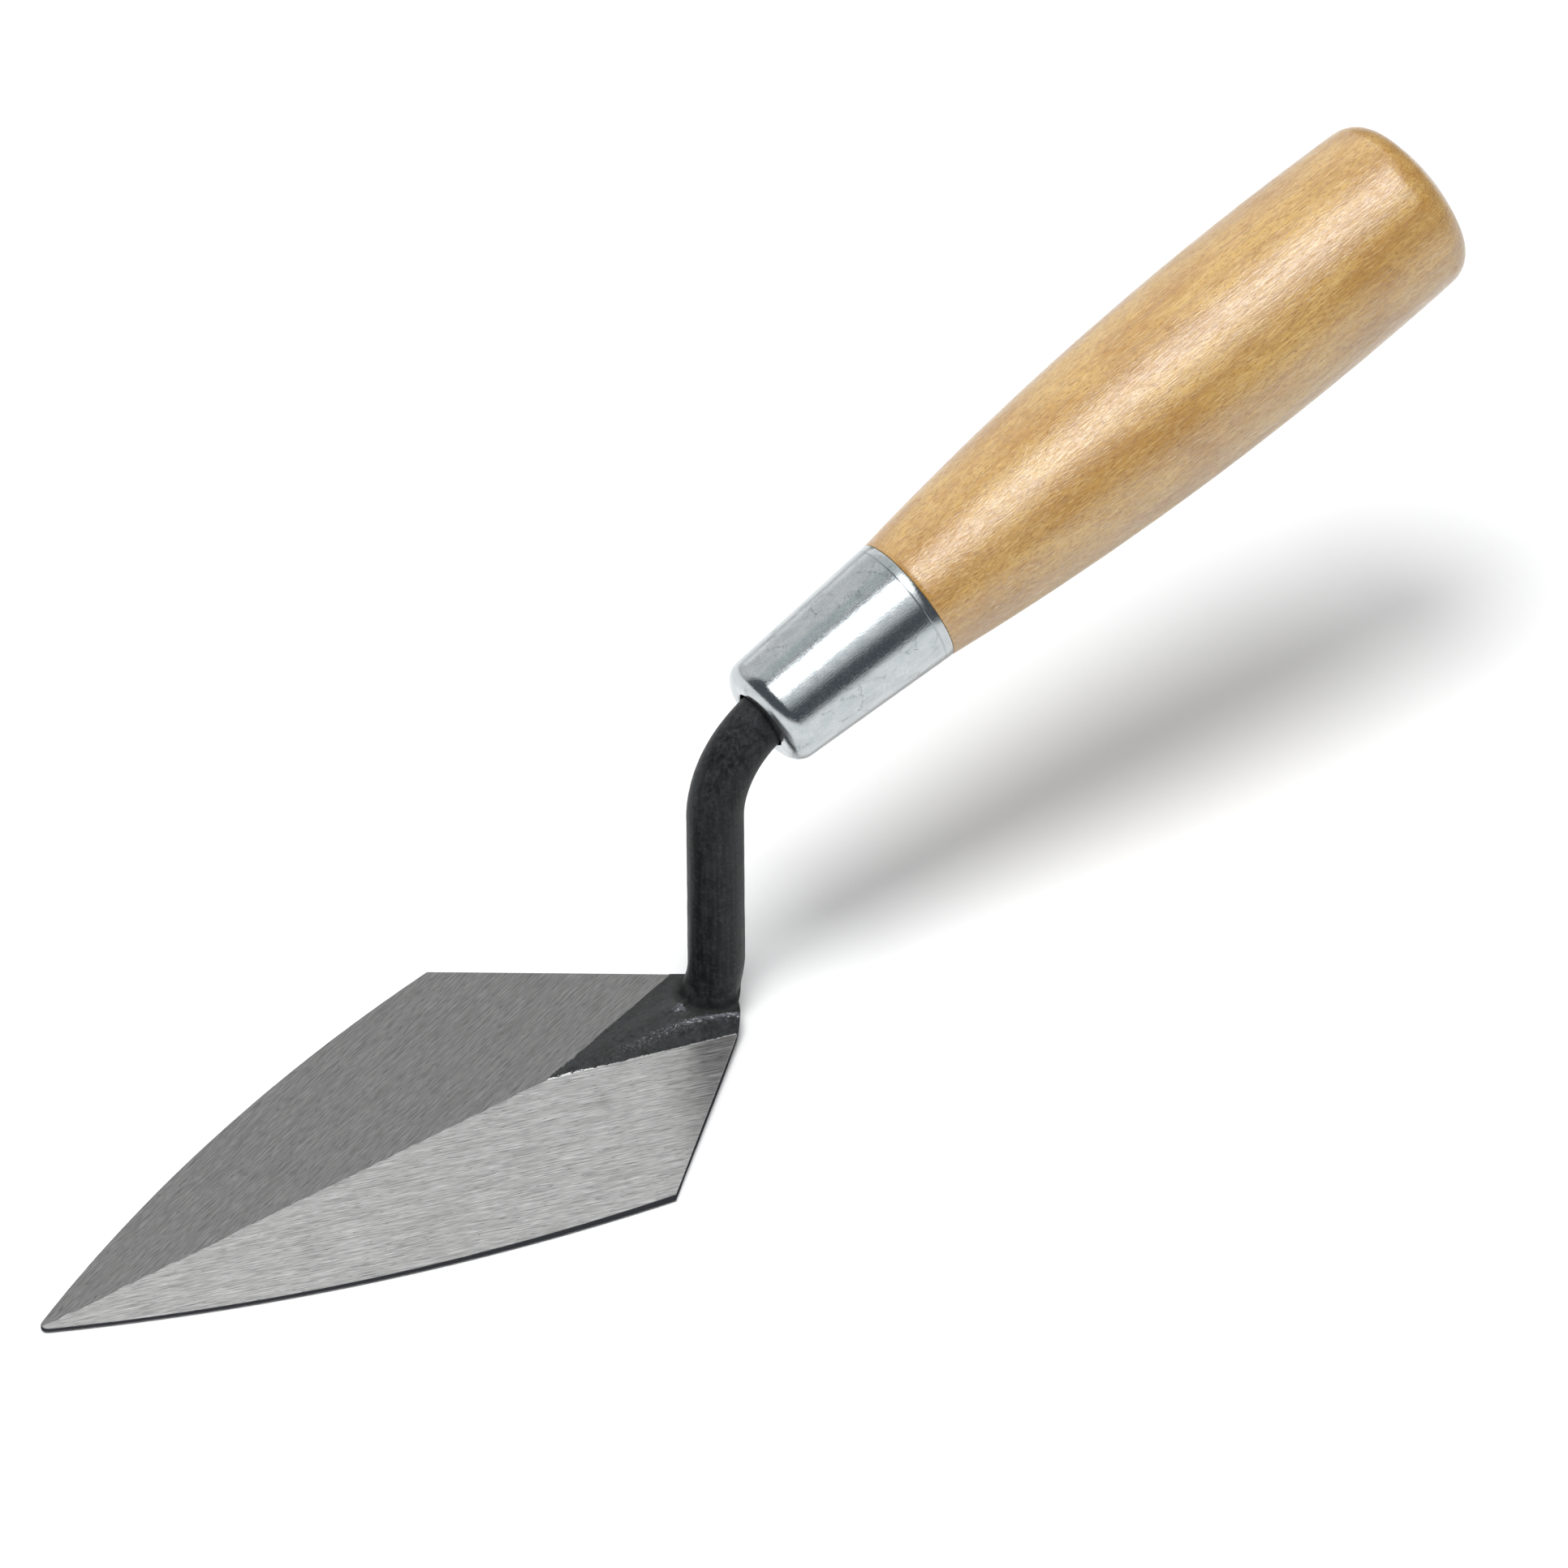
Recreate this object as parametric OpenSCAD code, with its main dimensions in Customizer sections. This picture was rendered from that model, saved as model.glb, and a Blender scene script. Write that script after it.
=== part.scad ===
// Pointing trowel: a one-piece steel forging (blade, bolster, cranked shank and tang),
// a drawn steel ferrule and a turned hardwood handle.
//
// Millimetres. The origin is on the blade's flat underside, below the shank's centreline.
// +X runs to the tip, +Z is up, and the blade is symmetric about Y = 0.

/* [Blade] */
// Distance from the shank's centreline forward to the tip
reach = 122.4; // [112:0.2:134]
// Width across the shoulders
blade_w = 63.5; // [58:0.5:69]
// Distance from the shank's centreline forward to the shoulders
shoulder_x = 30.6; // [28:0.2:33]
// Angle between each heel edge and the blade's centreline
heel_angle = 39.4; // [38:0.2:41]
// Radius of each long, gently curved edge
edge_r = 307; // [260:1:400]
// Radius of the rounded heel
heel_r = 11; // [10:0.5:12]
// Radius of the rounded tip
tip_r = 1; // [0.5:0.1:2]
// Thickness of the edge at the shoulders
edge_t = 1.2; // [1:0.05:1.5]
// Thickness at the ridge, level with the shoulders
ridge_t = 2.1; // [1.9:0.05:2.4]
// Thickness at the ridge, at the tip
tip_t = 0.7; // [0.6:0.05:0.9]

/* [Bolster] */
// Distance from the shank's centreline forward to the bolster's point
bolster_x = 30.9; // [27:0.2:34]
// Angle between each side of the bolster and the blade's centreline
bolster_angle = 16.5; // [14:0.5:18]
// Height of the bolster's top beside the shank
bolster_h = 4.4; // [4:0.1:5]
// Height of the bolster's top at its point
bolster_point_h = 2.1; // [2:0.05:2.4]
// Slope of the bolster's bevelled sides
bolster_slope = 30; // [24:1:40]

/* [Shank] */
// Diameter of the shank
shank_d = 8.6; // [7.8:0.1:9]
// Height where the shank's centreline would meet the handle's, if neither were bent
shank_rise = 48.8; // [44:0.2:54]
// Radius of the bend's centreline
bend_r = 15.9; // [12:0.1:17]
// Radius of the fillet round the foot of the shank
foot_r = 2.2; // [1:0.1:3]

/* [Tang] */
// Length of the tang inside the wood
tang_l = 80; // [60:1:90]
// Width of the square tang at the shank
tang_w = 5.5; // [5:0.1:5.6]
// Width of the square tang at its end
tang_end_w = 3; // [2.6:0.1:3.6]
// Number of barbs along each face
barbs = 8; // [4:1:12]
// Depth of each barb
barb_d = 0.3; // [0.1:0.05:0.4]

/* [Ferrule] */
// Length of the ferrule
ferrule_l = 29; // [26:0.5:32]
// Outer radius at the rim, where the wood begins
rim_r = 10.35; // [9.8:0.05:11]
// Taper of the ferrule's side
ferrule_taper = 3.3; // [2.5:0.1:4]
// Radius of the rounded nose
nose_r = 3; // [2.5:0.1:3.2]
// Radius of the hole for the shank
hole_r = 4.7; // [4.6:0.05:5]
// Thickness of the sheet
sheet_t = 0.9; // [0.7:0.1:1.1]
// Distance from the rim back to the fine groove
groove_back = 1.5; // [1:0.1:2.5]
// Radius of the fine groove
groove_r = 0.25; // [0.15:0.05:0.35]
// Distance along the handle from the bend's corner to the ferrule's nose
nose_gap = 8.8; // [8:0.2:10]
// Space between the nose and the end of the wood
wood_gap = 1.8; // [1.5:0.1:2.4]

/* [Handle] */
// Angle of the handle above the blade
handle_tilt = 19.5; // [16:0.5:24]
// Length of the wood behind the ferrule
grip_l = 101.9; // [92:0.1:112]
// Largest radius of the handle
grip_r = 14.85; // [14:0.05:15.6]
// Distance from the ferrule's rim to the widest place
grip_widest = 69; // [62:1:74]
// Radius of the domed butt
butt_dome_r = 30; // [26:1:45]
// Radius round the edge of the butt
butt_edge_r = 5; // [4:0.1:6]

/* [Hidden] */
$fn = 96;
fine = 720;
// A step too small to see, where an arc would otherwise only graze a line
hair = 0.01;

function unit(v) = v / norm(v);
// The point at distances ra from a and rb from b, on the left of the line from a to b
function meet(a, ra, b, rb) =
    let (d = norm(b - a), along = (ra^2 - rb^2 + d^2) / (2 * d), u = (b - a) / d)
    a + along * u + sqrt(ra^2 - along^2) * [-u.y, u.x];

// Blade outline
shoulder = [shoulder_x, blade_w / 2];
heel_apex_x = shoulder_x - blade_w / 2 / tan(heel_angle);
past_shoulder = 1.2 * shoulder - [0.2 * heel_apex_x, 0];
heel_c = [heel_apex_x + heel_r / sin(heel_angle), 0];
heel_touch = heel_c + heel_r * [-sin(heel_angle), cos(heel_angle)];
tip_c = [reach - tip_r, 0];
edge_c = meet(tip_c, edge_r - tip_r, shoulder, edge_r);
tip_touch = tip_c + tip_r * unit(tip_c - edge_c);

// Slopes of the two ground facets, along the blade and across it
ridge_fall = (ridge_t - tip_t) / (reach - bolster_x);
facet_fall = (ridge_t - edge_t) / (blade_w / 2);
bolster_fall = (bolster_h - bolster_point_h) / bolster_x;

// Handle axis, measured from the bend's corner
turn = 90 - handle_tilt;
bend_t = bend_r * tan(turn / 2);
wood_t = max(nose_gap + sheet_t + wood_gap, bend_t + 0.2);

// How far the shank's straight neck, and then the tang, are rooted in what they grow from
tang_root = 0.5;
// How much thinner the straight neck inside the ferrule is than the shank
neck_step = 0.2;

// Ferrule profile: the centre of its rounded nose and the direction square to its side
nose_c = [rim_r - (ferrule_l - nose_r) * tan(ferrule_taper) - nose_r / cos(ferrule_taper), nose_r];
side_out = [cos(ferrule_taper), -sin(ferrule_taper)];

// Handle profile: one long arc, a domed end and a rounded edge that touches both
sag = grip_r - rim_r;
barrel_r = (grip_widest^2 + sag^2) / (2 * sag);
barrel_c = [grip_r - barrel_r, grip_widest];
dome_c = [0, grip_l - butt_dome_r];
edge_round_c = meet(barrel_c, barrel_r - butt_edge_r, dome_c, butt_dome_r - butt_edge_r);
barrel_touch = barrel_c + barrel_r * unit(edge_round_c - barrel_c);
dome_touch = dome_c + butt_dome_r * unit(edge_round_c - dome_c);

// A thick slab whose lowest face lies on z = height - fall_x * x - fall_y * y
module above_plane(height, fall_x, fall_y) {
    size = 400;
    pitch = atan(fall_x);
    roll = -atan(fall_y * cos(pitch));
    translate([0, 0, height]) rotate([roll, pitch, 0])
        translate([-size / 2, -size / 2, 0]) cube([size, size, 30]);
}

// Rounds a corner of its child to a circle that touches both sides at the points given
module rounded_corner(centre, r, touch_a, touch_b) {
    reach_out = 1.5;
    corner = centre + 4 * (touch_a + touch_b - 2 * centre);
    difference() {
        children();
        difference() {
            polygon([
                centre, centre + reach_out * (touch_a - centre), corner,
                centre + reach_out * (touch_b - centre)
            ]);
            translate(centre) circle(r - hair);
        }
    }
}

module blade_outline() {
    rounded_corner(heel_c, heel_r, heel_touch, [heel_touch.x, -heel_touch.y])
    rounded_corner(tip_c, tip_r, tip_touch, [tip_touch.x, -tip_touch.y])
        intersection() {
            translate(edge_c) circle(edge_r, $fn = fine);
            translate([edge_c.x, -edge_c.y]) circle(edge_r, $fn = fine);
            polygon([
                [heel_apex_x, 0], past_shoulder, [reach + heel_r, past_shoulder.y],
                [reach + heel_r, -past_shoulder.y], [past_shoulder.x, -past_shoulder.y]
            ]);
        }
}

module blade() {
    difference() {
        linear_extrude(ridge_t * 2) blade_outline();
        for (side = [-1, 1])
            above_plane(ridge_t + ridge_fall * bolster_x, ridge_fall, side * facet_fall);
    }
}

// A wedge that is widest at the heel, with bevelled sides that run out at its point
module bolster() {
    back = -heel_r;
    half_w = (bolster_x - back) * tan(bolster_angle);
    side_fall = tan(bolster_slope) / cos(bolster_angle);
    point_fall = side_fall * tan(bolster_angle);
    intersection() {
        linear_extrude(bolster_h * 2) blade_outline();
        difference() {
            linear_extrude(bolster_h * 2)
                polygon([[bolster_x, 0], [back, half_w], [back, -half_w]]);
            above_plane(bolster_h, bolster_fall, 0);
            for (side = [-1, 1])
                above_plane(edge_t + point_fall * bolster_x, point_fall, side * side_fall);
        }
    }
}

module foot_fillet() {
    seat = bolster_h - 1;
    inner = shank_d / 2 - 0.5;
    toe = shank_d / 2 + foot_r;
    intersection() {
        linear_extrude(shank_rise) blade_outline();
        translate([0, 0, seat]) rotate_extrude() difference() {
            translate([inner, 0]) square([toe - inner, bolster_h - seat + foot_r]);
            translate([toe, bolster_h - seat + foot_r]) circle(foot_r);
        }
    }
}

// Places its children on the handle's axis, a distance along it from the bend's corner
module along_handle(distance) {
    translate([0, 0, shank_rise]) rotate([0, -turn, 0]) translate([0, 0, distance]) children();
}

module shank() {
    cylinder(d = shank_d, h = shank_rise - bend_t);
    translate([-bend_r, 0, shank_rise - bend_t]) rotate([90, 0, 0])
        rotate_extrude(angle = turn) translate([bend_r, 0]) circle(d = shank_d);
    along_handle(bend_t - tang_root) cylinder(d = shank_d - neck_step, h = wood_t - bend_t + tang_root);
}

// Half the tang's width at a distance from the shank
function tang_half(z) = (tang_w + (tang_end_w - tang_w) * z / tang_l) / 2;

// One face of the tang, with barbs that slope in towards its point and step out again
module tang_face() {
    step = tang_l / (barbs + 1);
    root = [tang_w / 2, -tang_root];
    edge = [
        for (i = [0:barbs])
            each [[tang_half(i * step), i * step], [tang_half((i + 1) * step) - barb_d, (i + 1) * step]]
    ];
    near_side = concat([root], edge);
    point = [0, tang_l + tang_end_w];
    far_side = [for (i = [len(near_side) - 1:-1:0]) [-near_side[i].x, near_side[i].y]];
    rotate([90, 0, 0]) linear_extrude(2 * tang_w, center = true)
        polygon(concat(near_side, [point], far_side));
}

module tang() {
    along_handle(wood_t) intersection() {
        tang_face();
        rotate([0, 0, 90]) tang_face();
    }
}

// The ferrule's outline filled in to the axis, set in from its outer skin
module cup_outline(inset) {
    touch = nose_c + (nose_r - inset) * side_out;
    polygon([
        [0, inset], [nose_c.x, inset], nose_c, touch,
        [rim_r - inset / cos(ferrule_taper), ferrule_l], [0, ferrule_l]
    ]);
    translate(nose_c) circle(nose_r - inset);
}

module barrel_outline() {
    rounded_corner(edge_round_c, butt_edge_r, barrel_touch, dome_touch) intersection() {
        translate(barrel_c) circle(barrel_r, $fn = fine);
        union() {
            translate(dome_c) circle(butt_dome_r, $fn = fine);
            square([grip_r, dome_c.y]);
        }
        square([grip_r, grip_l]);
    }
}

module forged_blade() {
    color([0.48, 0.48, 0.48]) {
        blade();
        bolster();
        foot_fillet();
        shank();
        tang();
    }
}

module ferrule() {
    groove_c = [rim_r - groove_back * tan(ferrule_taper), ferrule_l - groove_back];
    color([0.75, 0.77, 0.78]) along_handle(nose_gap) rotate_extrude() difference() {
        cup_outline(0);
        cup_outline(sheet_t);
        square([hole_r, ferrule_l]);
        translate(groove_c) circle(groove_r);
    }
}

module handle() {
    color([0.82, 0.67, 0.46]) difference() {
        along_handle(nose_gap) rotate_extrude() {
            intersection() {
                cup_outline(sheet_t);
                translate([0, wood_t - nose_gap]) square([rim_r, ferrule_l]);
            }
            translate([0, ferrule_l]) barrel_outline();
        }
        tang();
    }
}

forged_blade();
ferrule();
handle();
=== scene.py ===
"""Looks of a pointing trowel: a forged blade with its shank and tang, a zinc-plated ferrule
and a lacquered hardwood handle. Lengths are millimetres until a mesh is made, then metres."""

import math

import bmesh
import bpy
import numpy as np
from mathutils import Matrix, Vector, noise


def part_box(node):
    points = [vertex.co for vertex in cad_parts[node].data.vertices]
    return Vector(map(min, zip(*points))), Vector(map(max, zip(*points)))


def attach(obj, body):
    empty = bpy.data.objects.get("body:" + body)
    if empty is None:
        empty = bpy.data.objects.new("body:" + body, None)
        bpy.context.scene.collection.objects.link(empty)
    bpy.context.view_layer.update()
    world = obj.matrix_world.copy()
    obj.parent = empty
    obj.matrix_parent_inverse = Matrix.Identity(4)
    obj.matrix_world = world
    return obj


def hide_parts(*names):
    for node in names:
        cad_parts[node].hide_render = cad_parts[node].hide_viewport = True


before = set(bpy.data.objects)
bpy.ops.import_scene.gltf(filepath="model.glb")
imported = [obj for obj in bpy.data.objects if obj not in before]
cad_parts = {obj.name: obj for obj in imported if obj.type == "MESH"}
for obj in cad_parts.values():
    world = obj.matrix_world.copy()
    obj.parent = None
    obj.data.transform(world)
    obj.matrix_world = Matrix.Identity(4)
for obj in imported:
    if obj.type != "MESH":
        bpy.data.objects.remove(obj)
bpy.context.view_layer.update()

MM = 0.001

# ---------------------------------------------------------------- driving dimensions
# X runs from under the shank to the tip, Y to the near side and Z up from the underside.
REACH, HALF_W, _ = np.array(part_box("forged_blade")[1]) / MM
SHOULDER_X = 30.6  # the blade's widest place
HEEL_ANGLE = math.radians(39.4)  # between a heel edge and the middle line
HEEL_R = 11
EDGE_R = 307  # the long edges are arcs
TIP_R = 1
EDGE_T = 1.2
RIDGE_T = 2.1
TIP_T = 0.7
BEVEL = 0.07  # broken edges at the top and bottom of the edge wall
HEEL_WEAR = 0.7  # how far the heel's wall leans in at its foot

BOLSTER_X = 30.9  # the bolster's point on the ridge
BOLSTER_SLOPE = math.tan(math.radians(16.5))
PLATEAU_Z = 2.3  # the bolster's flat top near its point
PLATEAU_RISE = 1.95  # from there to the shank

SHANK_R = 4.3
SHANK_RISE = 48.8  # up to the corner where the shank's and the handle's axes meet
BEND_R = 15.9
REAR_FOOT_R = 3.6

TANG_L = 80
TANG_W = 5.5
TANG_END_W = 3
TANG_POINT = 0.2  # half the width of the tang's blunt point
BARBS = 8
BARB_D = 0.3

FERRULE_L = 29
RIM_R = 10.35
TAPER = math.tan(math.radians(3.3))
NOSE_R = 3
HOLE_R = 4.7
SHEET_T = 0.9
GROOVE_BACK = 1.5  # from the rim to the groove's middle
GROOVE_R = 0.12
RIM_ROUND = 0.18  # the rim's outer corner
LIP_R = 0.3  # round the shank's hole

TILT = math.radians(19.5)
GRIP_L = 101.9
GRIP_R = 14.85
GRIP_WIDEST = 69
DOME_R = 30
BUTT_EDGE_R = 5
NECK_ROOM = 0.02  # between the wood and the ferrule
SOCKET_ROOM = 0.03  # between the wood and the tang

# Places along the handle's axis, measured from the corner.
NOSE_T = 8.8
WOOD_T = 11.5
TANG_TIP_T = WOOD_T + TANG_L + TANG_END_W

CORNER = np.array([0, 0, SHANK_RISE])
ALONG = np.array([-math.cos(TILT), 0, math.sin(TILT)])
FORWARD = np.array([math.sin(TILT), 0, math.cos(TILT)])
SIDEWAYS = np.array([0, 1, 0])
TURN = math.pi / 2 - TILT
BEND_LOW = SHANK_RISE - BEND_R * math.tan(TURN / 2)  # where the upright shank starts to bend

SEGMENTS = 256  # round the ferrule and the handle
AROUND = np.linspace(0, 2 * math.pi, SEGMENTS, endpoint=False)
SHARP_ANGLE = math.radians(32)


# ---------------------------------------------------------------- small helpers
def smoothstep(value, start, end):
    t = np.clip((value - start) / (end - start), 0, 1)
    return t * t * (3 - 2 * t)


def smooth_max(a, b, width):
    overlap = np.maximum(width - np.abs(a - b), 0) / width
    return np.maximum(a, b) + overlap**2 * width / 4


def smooth_min(a, b, width):
    return -smooth_max(-a, -b, width)


def bell(value, width):
    """1 at zero, falling smoothly to nothing about two widths away."""
    return np.exp(-((value / width) ** 2))


def lumps(x, y, z, size, seed=0.0):
    """Smooth noise from about -1 to 1 whose features measure about size millimetres."""
    shape = np.broadcast(x, y, z).shape
    points = np.stack([np.broadcast_to(c, shape).ravel() / size + seed for c in (x, y, z)], 1)
    return np.array([noise.noise(Vector(p)) for p in points]).reshape(shape)


def meet(a, ra, b, rb):
    """The point at distances ra from a and rb from b, on the left of the line from a to b."""
    a, b = np.array(a, float), np.array(b, float)
    gap = np.linalg.norm(b - a)
    along = (ra**2 - rb**2 + gap**2) / (2 * gap)
    u = (b - a) / gap
    return a + along * u + math.sqrt(ra**2 - along**2) * np.array([-u[1], u[0]])


def direction(point, centre):
    return math.atan2(point[1] - centre[1], point[0] - centre[0])


def arc(centre, radius, start, end, step):
    """Points along an arc, from one angle to another, about step millimetres apart."""
    count = max(2, round(abs(end - start) * radius / step))
    angles = np.linspace(start, end, count + 1)
    return [np.array(centre) + radius * np.array([math.cos(a), math.sin(a)]) for a in angles]


def line(start, end, step):
    """Points along a straight line, about step millimetres apart."""
    start, end = np.array(start, float), np.array(end, float)
    count = max(1, round(np.linalg.norm(end - start) / step))
    return [start + (end - start) * i / count for i in range(count + 1)]


def joined(*paths):
    """One path from several that meet end to end."""
    points = list(paths[0])
    for path in paths[1:]:
        points += list(path)[1:]
    return np.array(points)


def square_radius(cos, sin):
    """Distance from the middle of a square, two wide, to its outline in each direction."""
    return 1 / np.maximum(np.abs(cos), np.abs(sin))


def tang_half(depth):
    """Half the tang's width, at a depth into the wood."""
    return (TANG_W + (TANG_END_W - TANG_W) * depth / TANG_L) / 2


def ring_faces(rows, columns, closed_rows=False):
    """Faces of a grid of rings. Each ring closes on itself, and the last can join the first."""
    faces = []
    for row in range(rows if closed_rows else rows - 1):
        a = row * columns
        b = (row + 1) % rows * columns
        for i in range(columns):
            j = (i + 1) % columns
            faces.append((a + i, a + j, b + j, b + i))
    return faces


def capped_faces(rows, columns):
    """Faces of a stack of rings with a fan at each end, to two poles that follow the last ring."""
    faces = ring_faces(rows, columns)
    last = (rows - 1) * columns
    pole = rows * columns
    for i in range(columns):
        j = (i + 1) % columns
        faces.append((pole, j, i))
        faces.append((pole + 1, last + i, last + j))
    return faces


def make_object(name, verts, faces, attributes, weld):
    """A smooth mesh object in metres, with points closer than weld millimetres merged.
    attributes maps a name to one value or vector per vertex."""
    mesh = bpy.data.meshes.new(name)
    mesh.from_pydata((np.array(verts) * MM).tolist(), [], faces)
    for key, values in attributes.items():
        values = np.array(values, np.float32)
        kind, field = ("FLOAT_VECTOR", "vector") if values.ndim == 2 else ("FLOAT", "value")
        mesh.attributes.new(key, kind, "POINT").data.foreach_set(field, values.ravel())
    b = bmesh.new()
    b.from_mesh(mesh)
    bmesh.ops.remove_doubles(b, verts=b.verts, dist=weld * MM)
    bmesh.ops.dissolve_degenerate(b, edges=b.edges, dist=weld * MM / 10)
    bmesh.ops.recalc_face_normals(b, faces=b.faces)
    b.to_mesh(mesh)
    b.free()
    mesh.shade_smooth()
    mesh.set_sharp_from_angle(angle=SHARP_ANGLE)
    obj = bpy.data.objects.new(name, mesh)
    bpy.context.scene.collection.objects.link(obj)
    return obj


# ---------------------------------------------------------------- forged blade
def outline_columns():
    """Directions, and distances from the shank's axis to the outline, right round from the tip."""
    shoulder = np.array([SHOULDER_X, HALF_W])
    heel_apex_x = SHOULDER_X - HALF_W / math.tan(HEEL_ANGLE)
    heel_c = np.array([heel_apex_x + HEEL_R / math.sin(HEEL_ANGLE), 0])
    heel_touch = heel_c + HEEL_R * np.array([-math.sin(HEEL_ANGLE), math.cos(HEEL_ANGLE)])
    tip_c = np.array([REACH - TIP_R, 0])
    edge_c = meet(tip_c, EDGE_R - TIP_R, shoulder, EDGE_R)
    tip_touch = tip_c + TIP_R * (tip_c - edge_c) / np.linalg.norm(tip_c - edge_c)
    half = joined(
        arc(tip_c, TIP_R, 0, direction(tip_touch, tip_c), 0.25),
        arc(edge_c, EDGE_R, direction(tip_touch, edge_c), direction(shoulder, edge_c), 0.7),
        line(shoulder, heel_touch, 0.6),
        arc(heel_c, HEEL_R, direction(heel_touch, heel_c), math.pi, 0.3),
    )
    angle = np.arctan2(half[:, 1], half[:, 0])
    reach = smooth_max(np.hypot(half[:, 0], half[:, 1]), REAR_FOOT_R, 0.8)
    return np.concatenate([angle, -angle[-2:0:-1]]), np.concatenate([reach, reach[-2:0:-1]])


def ridge_wander(x):
    """How far the ridge strays to one side, at x along the blade."""
    broad = 0.22 * lumps(x, 0.0, 0.0, size=7, seed=3.1)
    return broad + 0.10 * lumps(x, 0.0, 0.0, size=1.7, seed=9.4)


def facet_height(x, y):
    """The ground top: two facets that fall from the ridge to the edges and towards the tip."""
    ridge_fall = (RIDGE_T - TIP_T) / (REACH - BOLSTER_X)
    facet_fall = (RIDGE_T - EDGE_T) / HALF_W
    wave = 0.012 * lumps(x, y, 0.0, size=14, seed=5.7)
    return RIDGE_T - ridge_fall * (x - BOLSTER_X) - facet_fall * np.abs(y - ridge_wander(x)) + wave


def bolster_margin(x, y):
    """Distance inside the bolster's ragged edge, in millimetres; negative outside it."""
    slope = math.hypot(1, BOLSTER_SLOPE)
    inside = ((BOLSTER_X - x) * BOLSTER_SLOPE - np.abs(y)) / slope
    ragged = 0.12 * lumps(x, y, 0.0, size=2.6, seed=1.3)
    ragged = ragged + 0.14 * lumps(x, y, 0.0, size=0.8, seed=7.7)
    return inside + ragged * (0.35 + 0.65 * smoothstep(x, 16, 27))


def bolster_height(x, y, margin):
    """The unground top: a steep bevel up to a crest on the near side (+Y), a plateau in front of
    the shank, and a hollow slope that runs down to the blade on the far side."""
    inside = np.maximum(margin, 0)
    toward_heel = np.clip((BOLSTER_X - x) / (BOLSTER_X - 0.7), 0, 1.2)
    foot = facet_height(x, y) + 0.09
    bevel = foot + inside * (0.2 + 0.6 * toward_heel**1.3)
    hollow = foot + inside * (0.05 + 0.033 * inside)
    plateau = PLATEAU_Z + PLATEAU_RISE * smoothstep(28 - x, 0, 24)
    near_top = smooth_min(bevel, plateau, 0.35)
    top = hollow + (np.maximum(near_top, hollow) - hollow) * smoothstep(y, -3.8, 1.2)
    crest = bell(bevel - plateau, 0.25) * smoothstep(x, 24, 12) * (y > 0)
    grit = lumps(x, y, 0.0, size=0.55, seed=4.2)
    hammered = 0.07 * lumps(x, y, 0.0, size=2.6, seed=2.2)
    hammered = hammered + 0.03 * lumps(x, y, 0.0, size=1.1, seed=8.8) + 0.012 * grit
    return top + crest * (0.04 + 0.06 * grit) + hammered * smoothstep(margin, 0, 0.6)


def burr_strength(x, y):
    """Bare bruised metal, from 0 to 1: along the near crest and in front of the shank's foot."""
    from_crest = np.abs(y - 1.5 - 5.9 * np.exp(-x / 8))
    along_crest = bell(from_crest, 0.5) * smoothstep(x, 13, 3)
    nose = bell(x - 7.0, 1.1) * bell(y - 0.5, 0.9)
    trail = bell(from_crest, 0.9) * smoothstep(x, 3, 10) * smoothstep(x, 24, 12)
    return np.clip(along_crest + nose + 0.35 * trail, 0, 1)


def section_radius(angle, height):
    """The shank is round with four faint flats and a slightly uneven forged skin."""
    cos, sin = np.cos(angle), np.sin(angle)
    flats = 0.045 * np.cos(4 * angle + 0.7)
    skin = 0.035 * lumps(3 * cos, 3 * sin, height, size=3.5, seed=6.6)
    fine = 0.012 * lumps(4 * cos, 4 * sin, height, size=0.9, seed=2.9)
    return SHANK_R + flats + skin + fine


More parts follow.
